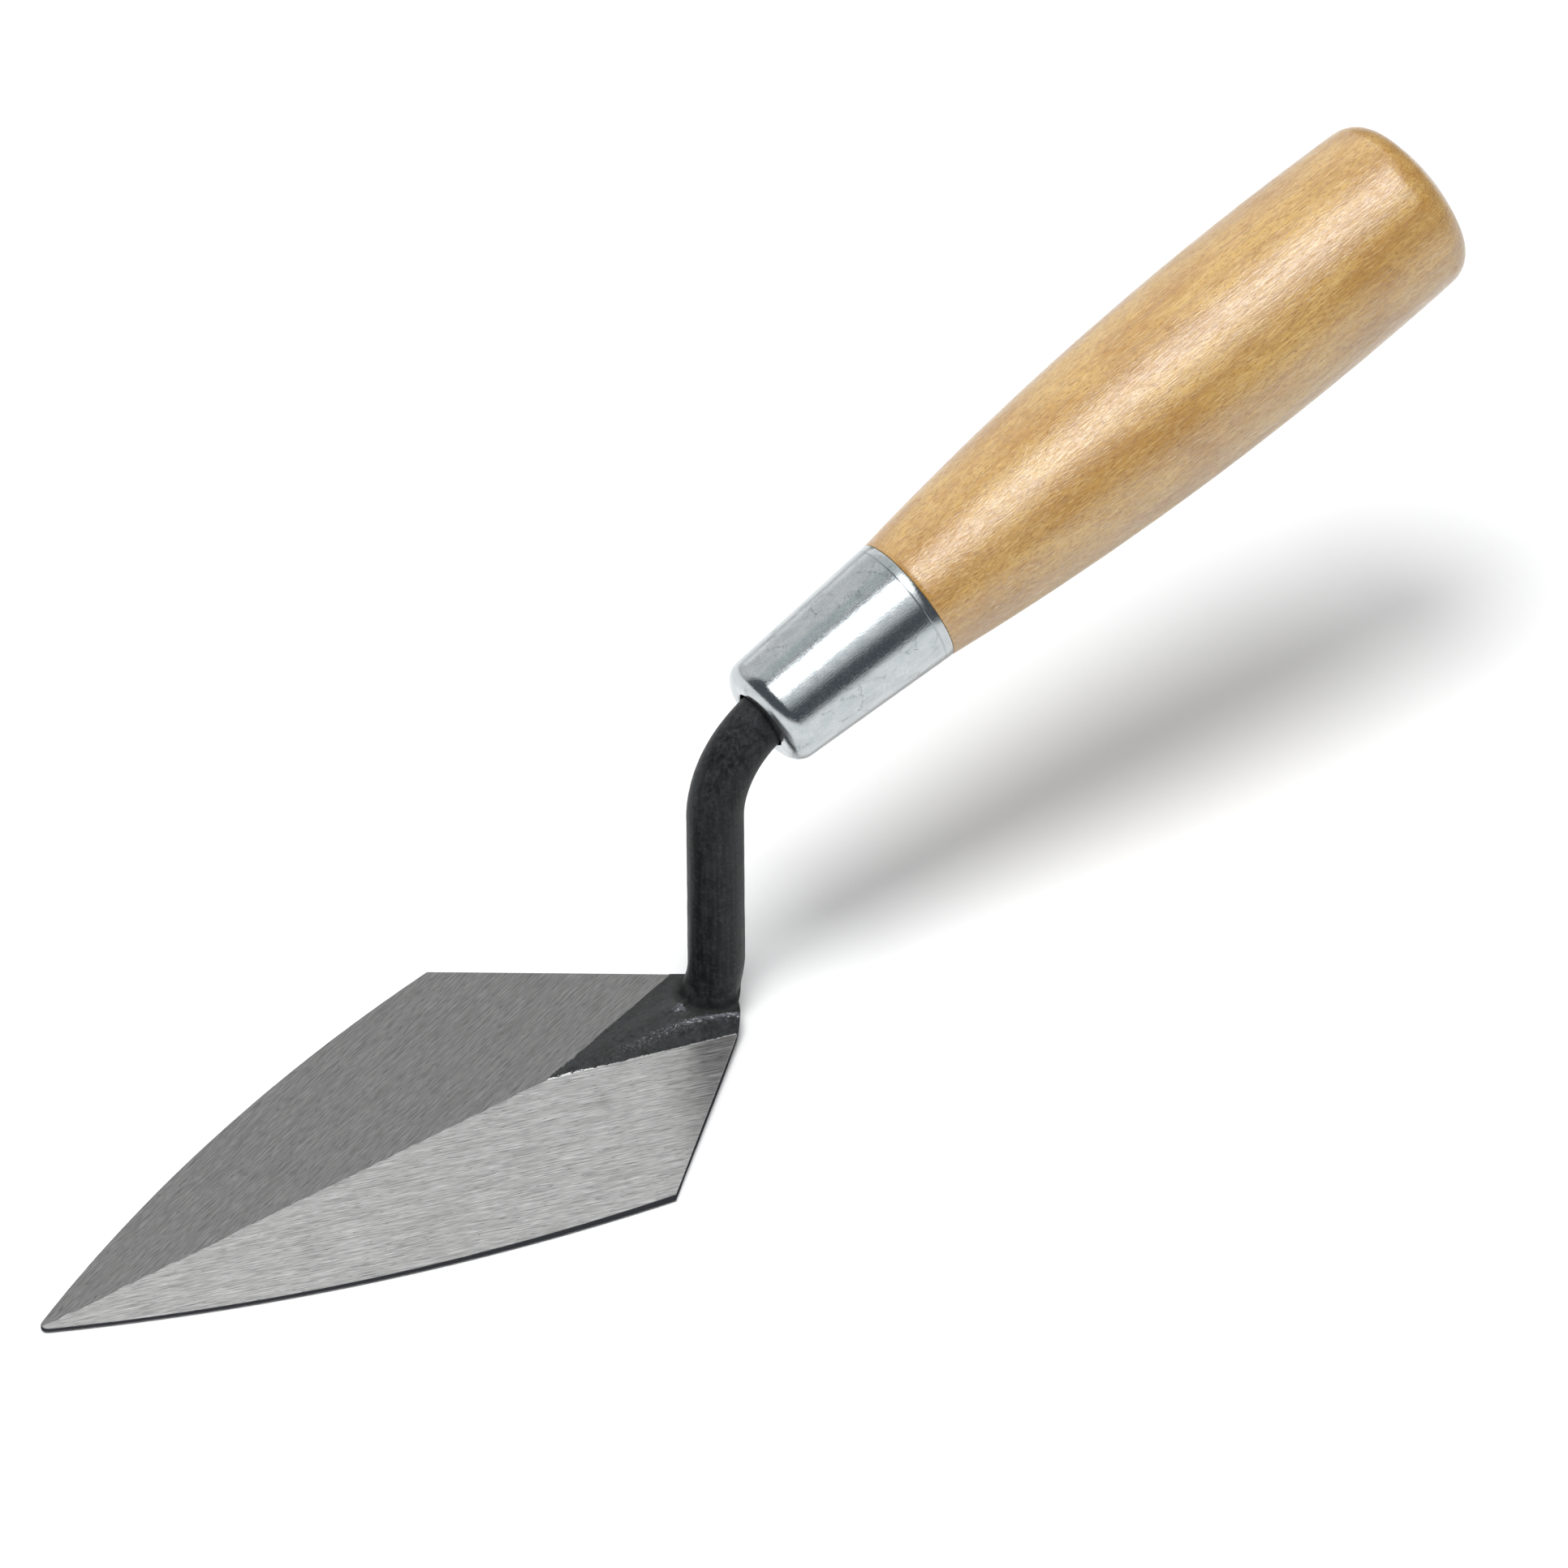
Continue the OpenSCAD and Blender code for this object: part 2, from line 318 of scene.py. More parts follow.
class ForgedSkin:
    """Rings from the tang's point down the shank, out over the blade and under it. Every ring has
    one point in each direction of the outline, and a point is x, y, z, ground and burr. ground is
    above 0 on ground steel and below 0 on forge scale; burr is bare bruised metal."""

    SCALE = -5.0  # ground, well inside the forge scale
    LEAST_GAP = 0.02  # kept between the shank's foot and the outline
    BEND_RINGS, SHANK_RINGS, FILLET_RINGS = 26, 40, 6
    BOLSTER_RINGS, FACET_RINGS, UNDERSIDE_RINGS = 46, 76, 14
    RAY_STEPS = 600  # places looked at for the bolster's rim, along each direction

    def __init__(self):
        self.angle, self.outline = outline_columns()
        self.cos, self.sin = np.cos(self.angle), np.sin(self.angle)
        self.rings = []
        self.edge_inset = self.outline - BEVEL
        room = np.maximum(self.outline - SHANK_R, 0)
        front = smoothstep(self.cos, -0.1, 0.75)
        self.flare = np.minimum(1.1 * front + 0.2, 0.5 * room)
        wander = 0.25 * lumps(6 * self.cos, 6 * self.sin, 0.0, size=2.2, seed=5.1)
        self.fillet = np.minimum(0.6 + wander, 0.35 * room)

    def add(self, x, y, z, ground=SCALE, burr=0.0):
        ring = [np.broadcast_to(v, self.angle.shape) for v in (x, y, z, ground, burr)]
        self.rings.append(np.stack(ring, 1))

    def upright(self, radius, z, ground=SCALE):
        """A ring at a radius from the upright shank's axis."""
        self.add(radius * self.cos, radius * self.sin, z, ground)

    def across(self, distance, radius):
        """A ring square to the handle's axis, at a distance along it from the corner."""
        centre = CORNER + distance * ALONG
        forward = radius * self.cos
        self.add(centre[0] + FORWARD[0] * forward, radius * self.sin,
                 centre[2] + FORWARD[2] * forward)

    def tang(self):
        """A square tapered tang with chiselled barbs, and the shank's end where it begins."""
        square = square_radius(self.cos, self.sin)
        self.across(TANG_TIP_T - TANG_POINT, TANG_POINT * square)
        pitch = TANG_L / (BARBS + 1)
        for i in range(BARBS, -1, -1):
            far, near = (i + 1) * pitch, i * pitch
            self.across(WOOD_T + far, (tang_half(far) - BARB_D) * square)
            self.across(WOOD_T + near + 0.02, tang_half(near) * square)
        for k in (0.93, 1.0):
            self.across(WOOD_T + 0.3 * (1 - k), SHANK_R * k)

    def bend(self):
        """From the handle's tilt down to the upright part of the shank."""
        for turned in np.linspace(TURN, 0, self.BEND_RINGS):
            radius = section_radius(self.angle, BEND_LOW + BEND_R * turned)
            middle_x = -BEND_R * (1 - math.cos(turned))
            middle_z = BEND_LOW + BEND_R * math.sin(turned)
            self.add(middle_x + radius * self.cos * math.cos(turned), radius * self.sin,
                     middle_z + radius * self.cos * math.sin(turned))

    def shank_radius(self, z):
        """The shank narrows at the back and flares in front as it nears the blade."""
        rear = smoothstep(-self.cos, -0.2, 0.8)
        narrow = (SHANK_R - REAR_FOOT_R) * smoothstep(10.5 - z, 0, 6.5) * rear
        spread = self.flare * np.clip((9.5 - z) / 5.5, 0, 1) ** 1.7
        room_above = 2 * smoothstep(z, 4.5, 11)
        most = self.outline - self.LEAST_GAP + room_above
        return np.minimum(section_radius(self.angle, z) - narrow + spread, most)

    def shank(self):
        """Down the upright shank and out through a fillet to the toe, whose radii it returns."""
        toe = np.minimum(self.shank_radius(4.0) + self.fillet, self.outline - self.LEAST_GAP)
        x, y = toe * self.cos, toe * self.sin
        toe_z = bolster_height(x, y, bolster_margin(x, y))
        wall_low = toe_z + self.fillet
        for k in np.linspace(0, 1, self.SHANK_RINGS)[1:]:
            z = BEND_LOW + (wall_low - BEND_LOW) * k
            self.upright(self.shank_radius(z), z)
        wall_foot = self.shank_radius(wall_low)
        for bow in np.linspace(0, math.pi / 2, self.FILLET_RINGS)[1:]:
            radius = wall_foot + (toe - wall_foot) * (1 - math.cos(bow))
            self.upright(radius, toe_z + self.fillet * (1 - math.sin(bow)))
        return toe

    def bolster_rim(self, toe):
        """Radii where the bolster ends, and in which directions it does so before the edge."""
        edge = np.maximum(self.edge_inset, toe)
        ray = toe + (edge - toe) * np.linspace(0, 1, self.RAY_STEPS)[:, None]
        outside = bolster_margin(ray * self.cos, ray * self.sin) < 0
        leaves = outside.any(0)
        first = np.where(leaves, outside.argmax(0), self.RAY_STEPS - 1)
        return ray[first, np.arange(len(self.angle))], leaves

    def bolster(self, toe, rim):
        """From the toe out to the bolster's ragged rim."""
        for k in np.linspace(0, 1, self.BOLSTER_RINGS)[1:]:
            radius = toe + (rim - toe) * k
            x, y = radius * self.cos, radius * self.sin
            margin = np.maximum(bolster_margin(x, y), 0)
            ground = np.where(k < 1, -0.02 - margin, 0.0)
            self.add(x, y, bolster_height(x, y, margin), ground, burr_strength(x, y))

    def facets(self, toe, rim, leaves):
        """From the bolster's rim out to the edge."""
        edge = np.maximum(self.edge_inset, toe)
        start = np.minimum(rim + 0.1, edge)
        for k in np.linspace(0, 1, self.FACET_RINGS):
            radius = start + (edge - start) * k
            x, y = radius * self.cos, radius * self.sin
            margin = np.maximum(bolster_margin(x, y), 0)
            height = np.where(leaves, facet_height(x, y), bolster_height(x, y, margin))
            self.add(x, y, height, np.where(leaves, 0.1 + radius - start, -1.0))

    def edge_and_underside(self):
        """Down the nicked edge wall, which leans in at the worn heel, and in to the middle."""
        top = self.rings[-1][:, 2]
        x, y = self.outline * self.cos, self.outline * self.sin
        worn = HEEL_WEAR * smoothstep(SHOULDER_X - x, 0, 5)
        for k in (0.0, 0.33, 0.67, 1.0):
            nick = 0.03 * lumps(x, y, k, size=1.5, seed=4.4) * (0 < k < 1)
            z = top - BEVEL - (top - 2 * BEVEL) * k
            self.upright(self.outline + nick - worn * k**1.5, z, ground=-1.0)
        for k in np.linspace(1, 0, self.UNDERSIDE_RINGS)[:-1]:
            self.upright((self.edge_inset - worn) * k, 0.0, ground=1.0)


def forging():
    """The blade, bolster, shank and tang as one skin."""
    skin = ForgedSkin()
    skin.tang()
    skin.bend()
    toe = skin.shank()
    rim, leaves = skin.bolster_rim(toe)
    skin.bolster(toe, rim)
    skin.facets(toe, rim, leaves)
    skin.edge_and_underside()
    tang_tip = CORNER + TANG_TIP_T * ALONG
    poles = [[*tang_tip, ForgedSkin.SCALE, 0], [0, 0, 0, 1, 0]]
    values = np.vstack([np.array(skin.rings).reshape(-1, 5), poles])
    faces = capped_faces(len(skin.rings), len(skin.angle))
    attributes = {"ground": values[:, 3], "burr": values[:, 4]}
    return make_object("forging", values[:, :3], faces, attributes, weld=0.02)


# ---------------------------------------------------------------- turned pieces
def turned_points(radius, t):
    """Vertices at radii from the handle's axis and distances along it, and the same points as
    distance along it, forward and sideways, since grain and drawing marks run along the axis."""
    forward, side = radius * np.cos(AROUND), radius * np.sin(AROUND)
    verts = CORNER + t[..., None] * ALONG + forward[..., None] * FORWARD
    verts = verts + side[..., None] * SIDEWAYS
    return verts.reshape(-1, 3), np.stack([t, forward, side], -1).reshape(-1, 3)


def turned_lumps(radius, t, size, seed):
    """Noise at the same points."""
    return lumps(t, radius * np.cos(AROUND), radius * np.sin(AROUND), size, seed)


def cup_profile(inset, step):
    """The ferrule's round nose and the end of its side, set in from its outside."""
    angle = math.atan(TAPER)
    nose_c = [RIM_R - (FERRULE_L - NOSE_R) * TAPER - NOSE_R / math.cos(angle), NOSE_R]
    side_end = [RIM_R - inset / math.cos(angle), FERRULE_L]
    return arc(nose_c, NOSE_R - inset, -math.pi / 2, -angle, step), side_end


def ferrule_profile():
    """A closed path of (radius, distance): the cup's outside with its groove, then its inside."""
    outer_nose, rim = cup_profile(0, 0.25)
    inner_nose, inner_rim = cup_profile(SHEET_T, 0.4)
    groove_c = [RIM_R - GROOVE_BACK * TAPER, FERRULE_L - GROOVE_BACK]
    groove = arc(groove_c, GROOVE_R, -math.pi / 2, -1.5 * math.pi, 0.06)
    rim_c = [rim[0] - RIM_ROUND, FERRULE_L - RIM_ROUND]
    profile = joined(
        arc([HOLE_R + LIP_R, LIP_R], LIP_R, math.pi, 1.5 * math.pi, 0.08),
        line([HOLE_R + LIP_R, 0], outer_nose[0], 0.4),
        outer_nose,
        line(outer_nose[-1], groove[0], 0.8),
        groove,
        arc(rim_c, RIM_ROUND, 0, math.pi / 2, 0.06),
        line([rim_c[0], FERRULE_L], inner_rim, 0.3),
        line(inner_rim, inner_nose[-1], 2),
        inner_nose[::-1],
        line(inner_nose[0], [HOLE_R, SHEET_T], 0.5),
    )
    return profile + np.array([0, NOSE_T])


def ferrule():
    """A drawn cup with a faintly uneven skin."""
    profile = ferrule_profile()
    radius, t = (np.outer(column, np.ones(SEGMENTS)) for column in profile.T)
    radius = radius * (1 + 0.0012 * turned_lumps(radius, t, size=6, seed=3.3))
    verts, grain = turned_points(radius, t)
    faces = ring_faces(len(profile), SEGMENTS, closed_rows=True)
    return make_object("ferrule_shell", verts, faces, {"grain": grain}, weld=0.01)


def neck_profile():
    """The turned-down neck inside the ferrule, from the wood's front face to the rim."""
    nose, inner_rim = cup_profile(SHEET_T + NECK_ROOM, 0.4)
    face = WOOD_T - NOSE_T
    nose = [p for p in nose if p[1] > face]
    return joined([[nose[0][0] - 0.15, face]] + nose, line(nose[-1], inner_rim, 2.5))


def barrel_profile():
    """The swelling barrel and the domed butt, measured from the ferrule's rim."""
    sag = GRIP_R - RIM_R
    barrel_r = (GRIP_WIDEST**2 + sag**2) / (2 * sag)
    barrel_c = np.array([GRIP_R - barrel_r, GRIP_WIDEST])
    dome_c = np.array([0, GRIP_L - DOME_R])
    edge_c = meet(barrel_c, barrel_r - BUTT_EDGE_R, dome_c, DOME_R - BUTT_EDGE_R)
    barrel_touch = direction(edge_c, barrel_c)
    dome_touch = direction(edge_c, dome_c)
    barrel = arc(barrel_c, barrel_r, -math.asin(GRIP_WIDEST / barrel_r), barrel_touch, 1.0)
    return joined(
        [p for p in barrel if p[1] > 0.5],
        arc(edge_c, BUTT_EDGE_R, barrel_touch, dome_touch, 0.5),
        arc(dome_c, DOME_R, dome_touch, math.pi / 2, 0.8),
    )


def grip_profile():
    """The wood's outside from its front face, through the neck and the barrel, to the butt."""
    shoulder = [[RIM_R - 0.22, 0], [RIM_R - 0.07, 0.06], [RIM_R + 0.01, 0.2]]
    behind_rim = np.vstack([shoulder, barrel_profile()]) + np.array([0, FERRULE_L])
    path = np.vstack([neck_profile(), behind_rim])
    path[-1, 0] = 0
    return path + np.array([0, NOSE_T])


def grip():
    """The handle, with the square tapered socket that the tang is driven into."""
    path = grip_profile()
    outer, butt_t = path[:-1], path[-1, 1]
    square = square_radius(np.cos(AROUND), np.sin(AROUND))
    depths = np.linspace(0, TANG_L, 20)[::-1]
    socket = [(tang_half(depth) + SOCKET_ROOM) * square for depth in depths]
    all_round = np.ones(SEGMENTS)
    radius = np.vstack([[SOCKET_ROOM * square], socket, np.outer(outer[:, 0], all_round)])
    t = np.outer(np.concatenate([[TANG_TIP_T], WOOD_T + depths, outer[:, 1]]), all_round)
    uneven = np.arange(len(t)) > len(depths) + 6
    radius = radius + 0.02 * turned_lumps(radius, t, size=9, seed=1.9) * uneven[:, None]
    verts, grain = turned_points(radius, t)
    socket_t = TANG_TIP_T + 0.3
    verts = np.vstack([verts, CORNER + socket_t * ALONG, CORNER + butt_t * ALONG])
    grain = np.vstack([grain, [socket_t, 0, 0], [butt_t, 0, 0]])
    faces = capped_faces(len(t), SEGMENTS)
    return make_object("grip", verts, faces, {"grain": grain}, weld=0.005)


# ---------------------------------------------------------------- materials
class Shader:
    """A node tree, with a short call for each kind of node used here."""

    def __init__(self, tree):
        self.tree = tree
        self.tree.nodes.clear()

    def node(self, kind, values=None, **settings):
        """Inputs take a socket or a plain value; those given as None are left alone."""
        made = self.tree.nodes.new(kind)
        for key, value in settings.items():
            setattr(made, key, value)
        for key, value in (values or {}).items():
            if value is None:
                continue
            if isinstance(value, bpy.types.NodeSocket):
                self.tree.links.new(value, made.inputs[key])
            else:
                made.inputs[key].default_value = value
        return made

    def math(self, operation, a, b=None, c=None):
        return self.node("ShaderNodeMath", {0: a, 1: b, 2: c}, operation=operation).outputs[0]

    def times(self, a, b):
        return self.math("MULTIPLY", a, b)

    def plus(self, a, b):
        return self.math("ADD", a, b)

    def scaled(self, value, factor, offset):
        """value times factor, plus offset."""
        return self.math("MULTIPLY_ADD", value, factor, offset)

    def vector(self, operation, a, b=None):
        made = self.node("ShaderNodeVectorMath", {0: a, 1: b}, operation=operation)
        return made.outputs["Vector"]

    def length(self, vector):
        return self.node("ShaderNodeVectorMath", {0: vector}, operation="LENGTH").outputs["Value"]

    def attribute(self, name, output="Fac"):
        return self.node("ShaderNodeAttribute", attribute_name=name).outputs[output]

    def object_mm(self):
        place = self.node("ShaderNodeTexCoord").outputs["Object"]
        return self.vector("MULTIPLY", place, (1 / MM, 1 / MM, 1 / MM))

    def split(self, vector):
        return self.node("ShaderNodeSeparateXYZ", {0: vector}).outputs

    def join(self, x, y, z):
        return self.node("ShaderNodeCombineXYZ", {0: x, 1: y, 2: z}).outputs[0]

    def noise(self, place, size, detail=2.0, roughness=0.5, distortion=0.0, shift=None):
        """Noise from 0 to 1 whose features measure about size millimetres on each axis. A shift
        makes it unlike other noise of the same size."""
        if shift:
            place = self.vector("ADD", place, shift)
        return self.node("ShaderNodeTexNoise", {
            "Vector": self.vector("DIVIDE", place, size), "Scale": 1.0, "Detail": detail,
            "Roughness": roughness, "Distortion": distortion}).outputs["Fac"]

    def ramp(self, value, low, high, start=0.0, end=1.0):
        """Turns low..high into start..end, smoothly and held at both ends."""
        return self.node("ShaderNodeMapRange", {
            "Value": value, "From Min": low, "From Max": high, "To Min": start, "To Max": end},
            interpolation_type="SMOOTHSTEP").outputs[0]

    def mix(self, factor, a, b):
        """Colour a, turning into colour b as factor goes from 0 to 1."""
        return self.node("ShaderNodeMix", {0: factor, 6: a, 7: b}, data_type="RGBA").outputs[2]

    def blend(self, factor, a, b):
        """Number a, turning into number b as factor goes from 0 to 1."""
        return self.node("ShaderNodeMix", {0: factor, 2: a, 3: b}, data_type="FLOAT").outputs[0]

    def layers(self, colour, *coats):
        """A colour under coats of (factor, colour), the last one on top."""
        for factor, coat in coats:
            colour = self.mix(factor, colour, coat)
        return colour

    def bump(self, height, depth):
        """Height from 0 to 1 stands for depth millimetres."""
        return self.node("ShaderNodeBump", {
            "Strength": 1.0, "Distance": depth * MM, "Height": height}).outputs[0]

    def surface(self, values):
        out = self.node("ShaderNodeOutputMaterial")
        shaded = self.node("ShaderNodeBsdfPrincipled", values)
        self.tree.links.new(shaded.outputs[0], out.inputs["Surface"])


def new_shader(name):
    material = bpy.data.materials.new(name)
    material.use_nodes = True
    return material, Shader(material.node_tree)


def grey(value, warmth=0.0):
    return (value * (1 + warmth), value, value * (1 - warmth), 1.0)


EDGE_TURN = math.radians(18.9)  # between the scratches and the middle line
BURR_COLOUR = (0.62, 0.64, 0.70, 1)
BRUISE_COLOUR = (0.13, 0.135, 0.155, 1)
WALL_COLOUR = (0.040, 0.041, 0.046, 1)
ZINC_DULL, ZINC_BRIGHT = (0.50, 0.535, 0.545, 1), (0.60, 0.625, 0.625, 1)
ZINC_GRIT = (0.36, 0.40, 0.44, 1)
WOOD_DARK, WOOD_PALE = (0.45, 0.235, 0.049, 1), (0.62, 0.39, 0.116, 1)
WOOD_BAND = (0.42, 0.24, 0.085, 1)
WOOD_LINE = (0.33, 0.18, 0.06, 1)
WOOD_FLECK = (0.29, 0.13, 0.028, 1)
WOOD_FINE = (0.72, 0.50, 0.21, 1)
WOOD_SPECK = (0.16, 0.07, 0.025, 1)
LACQUER_IOR = 2.2


def near_facet(s, place, upward):
    """1 on the near facet and the underside, and 0 on the far facet, across an uneven ridge."""
    side = s.plus(s.split(place)[1], s.scaled(s.noise(place, (2.2, 0.35, 2), 3.0), 1.1, -0.55))
    return s.math("MAXIMUM", s.ramp(side, -0.12, 0.12), s.ramp(upward, -0.2, -0.6))


def brushing(s, place, near):
    """Places measured along and across the scratches, and the direction across them. The
    scratches run along each facet's own long edge."""
    x, y, _ = s.split(place)
    cos, sin = math.cos(EDGE_TURN), math.sin(EDGE_TURN)
    turn = s.scaled(near, -2 * sin, sin)
    along = s.plus(s.times(x, cos), s.times(y, turn))
    across = s.math("SUBTRACT", s.times(y, cos), s.times(x, turn))
    return s.join(along, across, s.times(near, 40.0)), s.join(s.times(turn, -1.0), cos, 0.0)


def ground_steel(s, place, brushed, near):
    """Bare steel off the grinding wheel, as colour, roughness and height. The far facet's colour is
    painted darker, as painted shade.
    """
    lines = s.noise(brushed, (7.0, 0.22, 1), 2.0, 0.55)
    short = s.noise(brushed, (2.2, 0.22, 1), 1.0, 0.5, shift=(20, 5, 3))
    broad = s.noise(brushed, (16.0, 1.8, 1), 2.0, 0.5)
    scratches = s.ramp(s.noise(brushed, (9.0, 0.16, 1), 1.0, shift=(3, 61, 5)), 0.62, 0.74)
    dashes = s.ramp(s.noise(brushed, (1.8, 0.20, 1), 1.0, shift=(50, 31, 7)), 0.67, 0.73)
    glints = s.ramp(s.noise(brushed, (3.2, 0.2, 1), 1.0, shift=(9, 77, 3)), 0.66, 0.74)
    pits = s.ramp(s.noise(place, (0.45, 0.45, 0.45), 1.0), 0.78, 0.83)
    streaks = s.scaled(s.ramp(lines, 0.25, 0.75), 0.6, s.times(s.ramp(short, 0.25, 0.75), 0.4))
    colour = s.layers(
        s.mix(streaks, grey(0.25, 0.012), grey(0.75, 0.012)),
        (s.ramp(broad, 0.40, 0.75, 0.0, 0.3), grey(0.33, 0.02)),
        (s.times(scratches, 0.65), grey(0.20)),
        (s.times(dashes, 0.7), grey(0.10)),
        (s.times(glints, 0.5), grey(0.80)),
        (s.times(pits, 0.85), grey(0.04)),
        # painted shade: the far facet's colour is darkened towards grey 0.05
        (s.scaled(near, -0.47, 0.47), grey(0.05)),
    )
    return colour, s.ramp(lines, 0.25, 0.75, 0.34, 0.42), streaks


def forge_scale(s, place, upward, grit):
    """Black scale, drawn into streaks up the shank, as colour, roughness, specular and height, with
    painted light on faces that look up and painted shade in the corner at the shank's foot.
    """
    x, y, z = s.split(place)
    patches = s.noise(place, (2.2, 2.2, 2.2), 4.0, 0.65)
    rolled = s.noise(place, (0.55, 0.55, 12), 2.0, 0.6)
    mottle = s.blend(s.ramp(z, 6, 11, 0.0, 0.55), patches, rolled)
    corner = s.times(s.ramp(s.length(s.join(x, y, 0.0)), 7.2, 6.0), s.ramp(z, 6.2, 4.9))
    wall = s.times(s.ramp(s.math("ABSOLUTE", upward), 0.5, 0.3), s.ramp(z, 2.4, 2.2))
    colour = s.layers(
        s.mix(s.ramp(mottle, 0.35, 0.68), grey(0.009, -0.06), grey(0.031, -0.08)),
        # painted light: scale on faces that look up is painted lighter
        (s.ramp(upward, 0.75, 1.0, 0.0, 0.5), grey(0.045)),
        (s.ramp(grit, 0.50, 0.75, 0.0, 0.4), grey(0.07)),
        (s.ramp(grit, 0.45, 0.28, 0.0, 0.8), grey(0.008)),
        # painted shade: the corner at the shank's foot is painted darker
        (s.times(corner, 0.3), grey(0.008)),
        (wall, WALL_COLOUR),
    )
    rough = s.scaled(corner, 0.3, s.ramp(mottle, 0.3, 0.7, 0.36, 0.55))
    height = s.plus(s.times(mottle, 0.6), s.times(grit, 0.4))
    return colour, rough, s.scaled(wall, -0.15, 0.15), height


def ground_area(s, x, ground, brushed):
    """1 on ground steel and 0 on scale, with torn teeth that are longest near the point."""
    teeth = s.math("SUBTRACT", s.noise(brushed, (0.9, 0.22, 1), 2.0, 0.6), 0.5)
    depth = s.scaled(s.ramp(x, 15, 29), 1.5, 0.35)
    return s.ramp(s.plus(ground, s.times(teeth, depth)), -0.03, 0.05)


def bright_lip(s, x, ground, near):
    """The line of light along the near foot of the bolster, widest near its point."""
    thick = s.ramp(x, 22, 28, 0.10, 0.30)
    off = s.math("ABSOLUTE", s.math("SUBTRACT", ground, 0.12))
    along = s.plus(s.ramp(x, 20, 26, 0.0, 0.7), s.ramp(x, 4, 14, 0.05, 0.3))
    return s.times(s.ramp(s.math("DIVIDE", off, thick), 1.2, 0.7), s.times(near, along))


def forged_steel():
    """Ground facets with scratches along each long edge, and black scale where nothing was
    ground, with bare metal showing where the scale is bruised."""
    material, s = new_shader("forged_steel")
    place = s.object_mm()
    x = s.split(place)[0]
    upward = s.split(s.node("ShaderNodeNewGeometry").outputs["Normal"])[2]
    near = near_facet(s, place, upward)
    brushed, tangent = brushing(s, place, near)
    grit = s.noise(place, (0.6, 0.6, 0.6), 3.0, 0.6)
    ground_colour, ground_rough, ground_height = ground_steel(s, place, brushed, near)
    scale_colour, scale_rough, scale_gloss, scale_height = forge_scale(s, place, upward, grit)

    ground, bruised = s.attribute("ground"), s.attribute("burr")
    clean = ground_area(s, x, ground, brushed)
    lip = bright_lip(s, x, ground, near)
    burr = s.times(bruised, s.ramp(s.noise(place, (0.50, 0.30, 0.40), 2.0, 0.7), 0.53, 0.68))
    bruise = s.times(s.times(bruised, bruised), s.ramp(grit, 0.35, 0.6, 0.3, 0.9))
    bare = s.math("MAXIMUM", clean, s.times(burr, 0.9))
    ground_colour = s.layers(ground_colour, (burr, BURR_COLOUR), (lip, grey(0.95)))
    scale_colour = s.mix(bruise, scale_colour, BRUISE_COLOUR)

    height = s.blend(clean, scale_height, ground_height)
    depth_mm = s.blend(clean, 0.11, 0.010)
    s.surface({
        "Base Color": s.mix(bare, scale_colour, ground_colour),
        "Metallic": s.times(bare, s.scaled(lip, -0.7, 1.0)),
        "Roughness": s.blend(clean, scale_rough, ground_rough),
        "Specular IOR Level": s.blend(bare, scale_gloss, 0.5),
        "Anisotropic": s.times(clean, 0.75),
        "Tangent": tangent,
        "Normal": s.bump(s.times(height, depth_mm), 1.0),
    })
    return material


def hairline_cracks(s, grain, cloud, grit, marks):
    """1 in thin broken cracks, along the borders of bent cells."""
    bent = s.node("ShaderNodeVectorMath", {0: s.join(cloud, grit, marks), "Scale": 0.9},
                  operation="SCALE").outputs["Vector"]
    cell = s.node("ShaderNodeTexVoronoi", {
        "Vector": s.vector("ADD", s.vector("DIVIDE", grain, (3.6, 2.6, 2.6)), bent),
        "Scale": 1.0}, feature="DISTANCE_TO_EDGE").outputs["Distance"]
    broken = s.ramp(s.noise(grain, (5, 4, 4), 2.0), 0.50, 0.58)
    return s.times(s.ramp(cell, 0.020, 0.004), broken)


def zinc_plate():
    """Bright zinc plating: faintly blue, grainy, with hairline cracks and drawing marks."""
    material, s = new_shader("zinc_plate")
    grain = s.attribute("grain", "Vector")
    cloud = s.noise(grain, (3.0, 1.8, 1.8), 4.0, 0.6)
    grit = s.noise(grain, (0.30, 0.18, 0.18), 2.0, 0.65)
    marks = s.noise(grain, (3.0, 0.2, 0.2), 2.0, 0.6)
    crack = hairline_cracks(s, grain, cloud, grit, marks)
    colour = s.layers(
        s.mix(s.ramp(cloud, 0.3, 0.7), ZINC_DULL, ZINC_BRIGHT),
        (s.ramp(grit, 0.35, 0.65, 0.45, 0.0), ZINC_GRIT),
        (s.times(crack, 0.85), grey(0.10)),
    )
    s.surface({
        "Base Color": colour,
        "Metallic": 1.0,
        "Roughness": s.scaled(crack, 0.3, s.ramp(grit, 0.35, 0.65, 0.08, 0.20)),
        "Normal": s.bump(s.scaled(grit, 0.7, s.times(marks, 0.3)), 0.025),
    })
    return material


